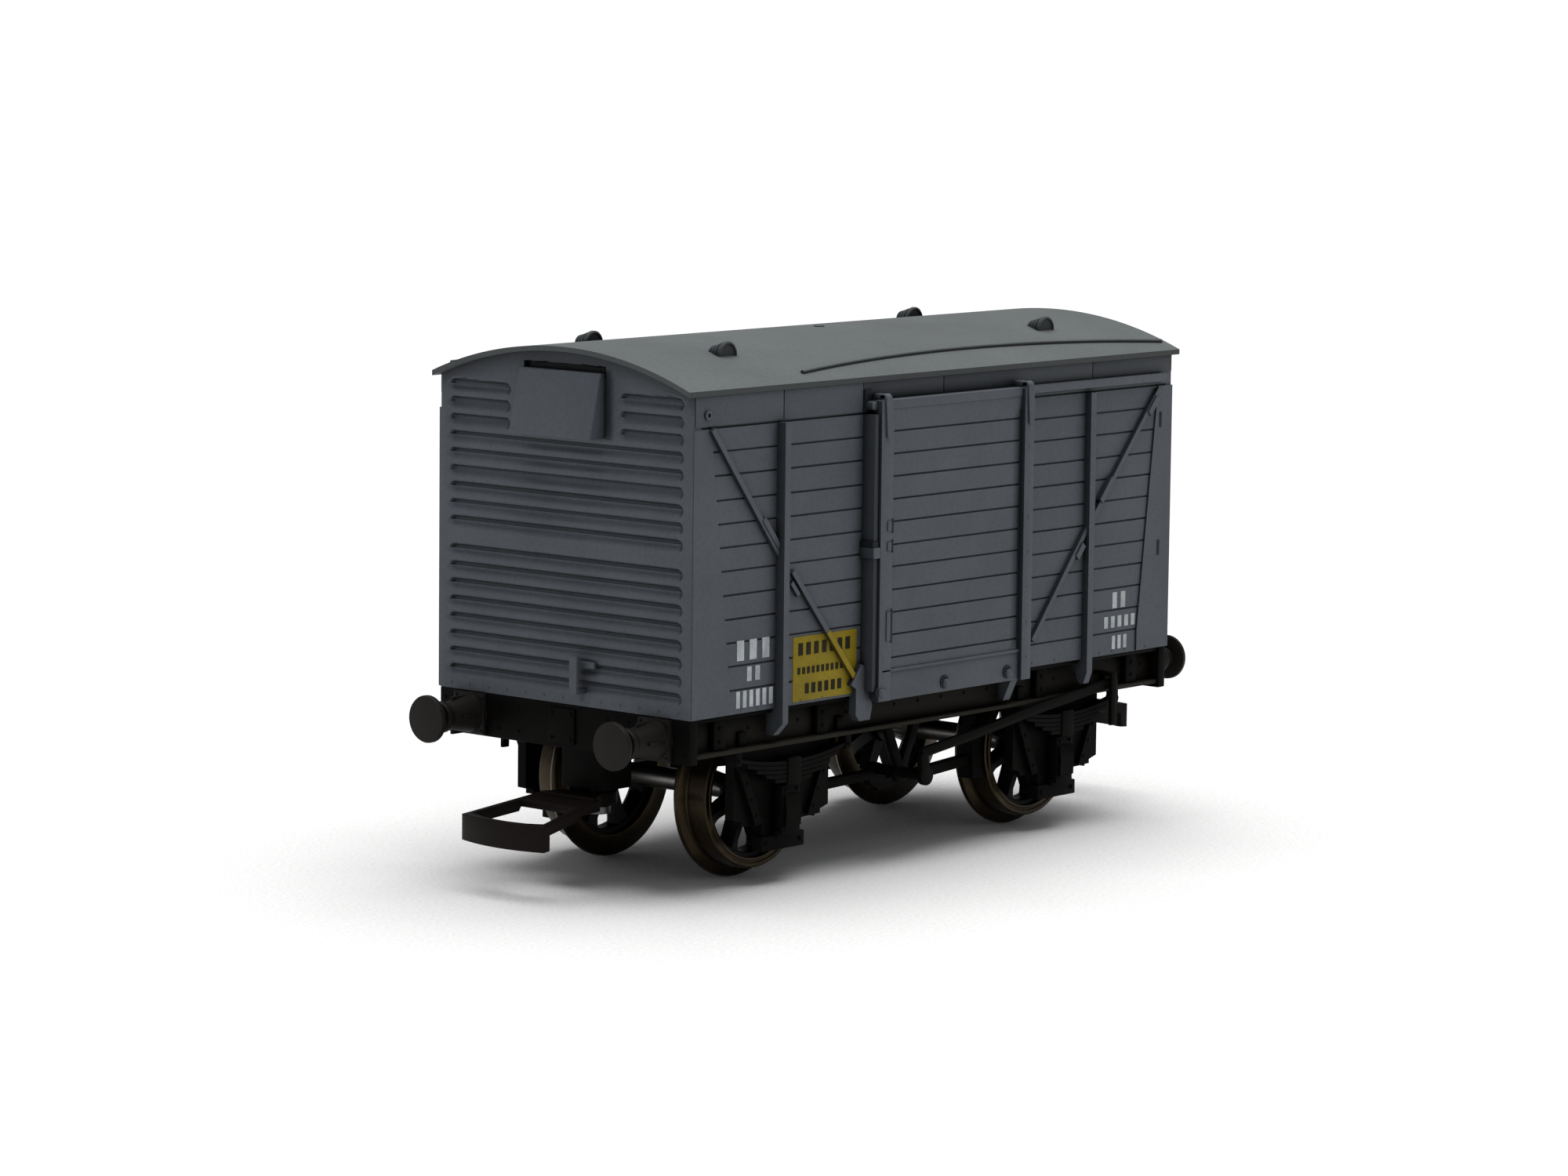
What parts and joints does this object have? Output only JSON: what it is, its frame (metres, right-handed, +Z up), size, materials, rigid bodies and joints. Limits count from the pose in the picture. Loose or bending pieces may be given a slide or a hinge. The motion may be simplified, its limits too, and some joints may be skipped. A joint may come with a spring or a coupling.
{
  "type": "model box car",
  "caption": "Four-wheeled covered goods van for a model railway, with ribbed ends, planked sides, a sliding door each side, spoked wheels, hand brake gear and loop couplings",
  "frame": {"origin": "on the rails under the middle of the van, at the bottom of the wheel flanges", "axes": "+X along the van to its rear end, +Y to its far side, +Z up"},
  "size_m": [0.086, 0.0348, 0.0487],
  "materials": {
    "body_grey": "satin slate grey moulding",
    "roof_grey": "matt mid grey moulding with a faint green cast",
    "vent_dark": "matt dark grey",
    "frame_black": "matt black with a little brown dust",
    "wheel_black": "matt black moulded spokes",
    "tyre_metal": "darkened turned metal, brighter on the tread",
    "axle_steel": "turned steel",
    "bearing_brass": "turned brass",
    "weight_steel": "plain steel sheet",
    "screw_steel": "blackened steel",
    "coupling_brown": "satin dark brown-grey moulding",
    "buffer_brown": "satin dark brown-grey moulding"
  },
  "bodies": {
    "van": {"axle_bearings": "bearing_brass", "axle_guard_front_far": "frame_black", "axle_guard_front_near": "frame_black", "axle_guard_rear_far": "frame_black", "axle_guard_rear_near": "frame_black", "axlebox_front_far": "frame_black", "axlebox_front_near": "frame_black", "axlebox_rear_far": "frame_black", "axlebox_rear_near": "frame_black", "ballast_weight": "weight_steel", "body_shell": "body_grey", "brake_lever_far": "frame_black", "brake_lever_near": "frame_black", "brake_shoes_far": "frame_black", "brake_shoes_near": "frame_black", "buffer_head_front_far": "buffer_brown", "buffer_head_front_near": "buffer_brown", "buffer_head_rear_far": "buffer_brown", "buffer_head_rear_near": "buffer_brown", "buffer_housings": "buffer_brown", "chassis_floor": "frame_black", "coupling_pocket_front": "frame_black", "coupling_pocket_rear": "frame_black", "coupling_screw_front": "screw_steel", "coupling_screw_rear": "screw_steel", "end_vent_front": "body_grey", "end_vent_rear": "body_grey", "headstock_front": "frame_black", "headstock_rear": "frame_black", "lamp_brackets": "body_grey", "leaf_spring_front_far": "frame_black", "leaf_spring_front_near": "frame_black", "leaf_spring_rear_far": "frame_black", "leaf_spring_rear_near": "frame_black", "lever_guards": "frame_black", "push_rods_far": "frame_black", "push_rods_near": "frame_black", "roof": "roof_grey", "roof_vents": "vent_dark", "solebar_far": "frame_black", "solebar_near": "frame_black", "v_hanger_far": "frame_black", "v_hanger_near": "frame_black", "weight_screws": "screw_steel"},
    "wheelset_front": {"axle_front": "axle_steel", "tyre_front_far": "tyre_metal", "tyre_front_near": "tyre_metal", "wheel_centre_front_far": "wheel_black", "wheel_centre_front_near": "wheel_black"},
    "wheelset_rear": {"axle_rear": "axle_steel", "tyre_rear_far": "tyre_metal", "tyre_rear_near": "tyre_metal", "wheel_centre_rear_far": "wheel_black", "wheel_centre_rear_near": "wheel_black"},
    "coupling_front": {"coupling_front": "coupling_brown"},
    "coupling_rear": {"coupling_rear": "coupling_brown"},
    "door_far_slide": {"door_far": "body_grey", "door_fittings_far": "body_grey"},
    "door_near_slide": {"door_fittings_near": "body_grey", "door_near": "body_grey"}
  },
  "joints": [
    {"name": "front_axle_turn", "type": "hinge", "parent": "van", "child": "wheelset_front", "pos_m": [-0.02, 0, 0.008], "axis": [0, 1, 0], "continuous": true},
    {"name": "rear_axle_turn", "type": "hinge", "parent": "van", "child": "wheelset_rear", "pos_m": [0.02, 0, 0.008], "axis": [0, 1, 0], "continuous": true},
    {"name": "front_coupling_swing", "type": "hinge", "parent": "van", "child": "coupling_front", "pos_m": [-0.03, 0, 0.0076], "axis": [0, 0, 1], "range_deg": [-10, 10]},
    {"name": "rear_coupling_swing", "type": "hinge", "parent": "van", "child": "coupling_rear", "pos_m": [0.03, 0, 0.0097], "axis": [0, 0, 1], "range_deg": [-10, 10]},
    {"name": "near_door_slide", "type": "slide", "parent": "van", "child": "door_near_slide", "axis": [1, 0, 0], "range_m": [0, 0.019]},
    {"name": "far_door_slide", "type": "slide", "parent": "van", "child": "door_far_slide", "axis": [-1, 0, 0], "range_m": [0, 0.019]}
  ]
}
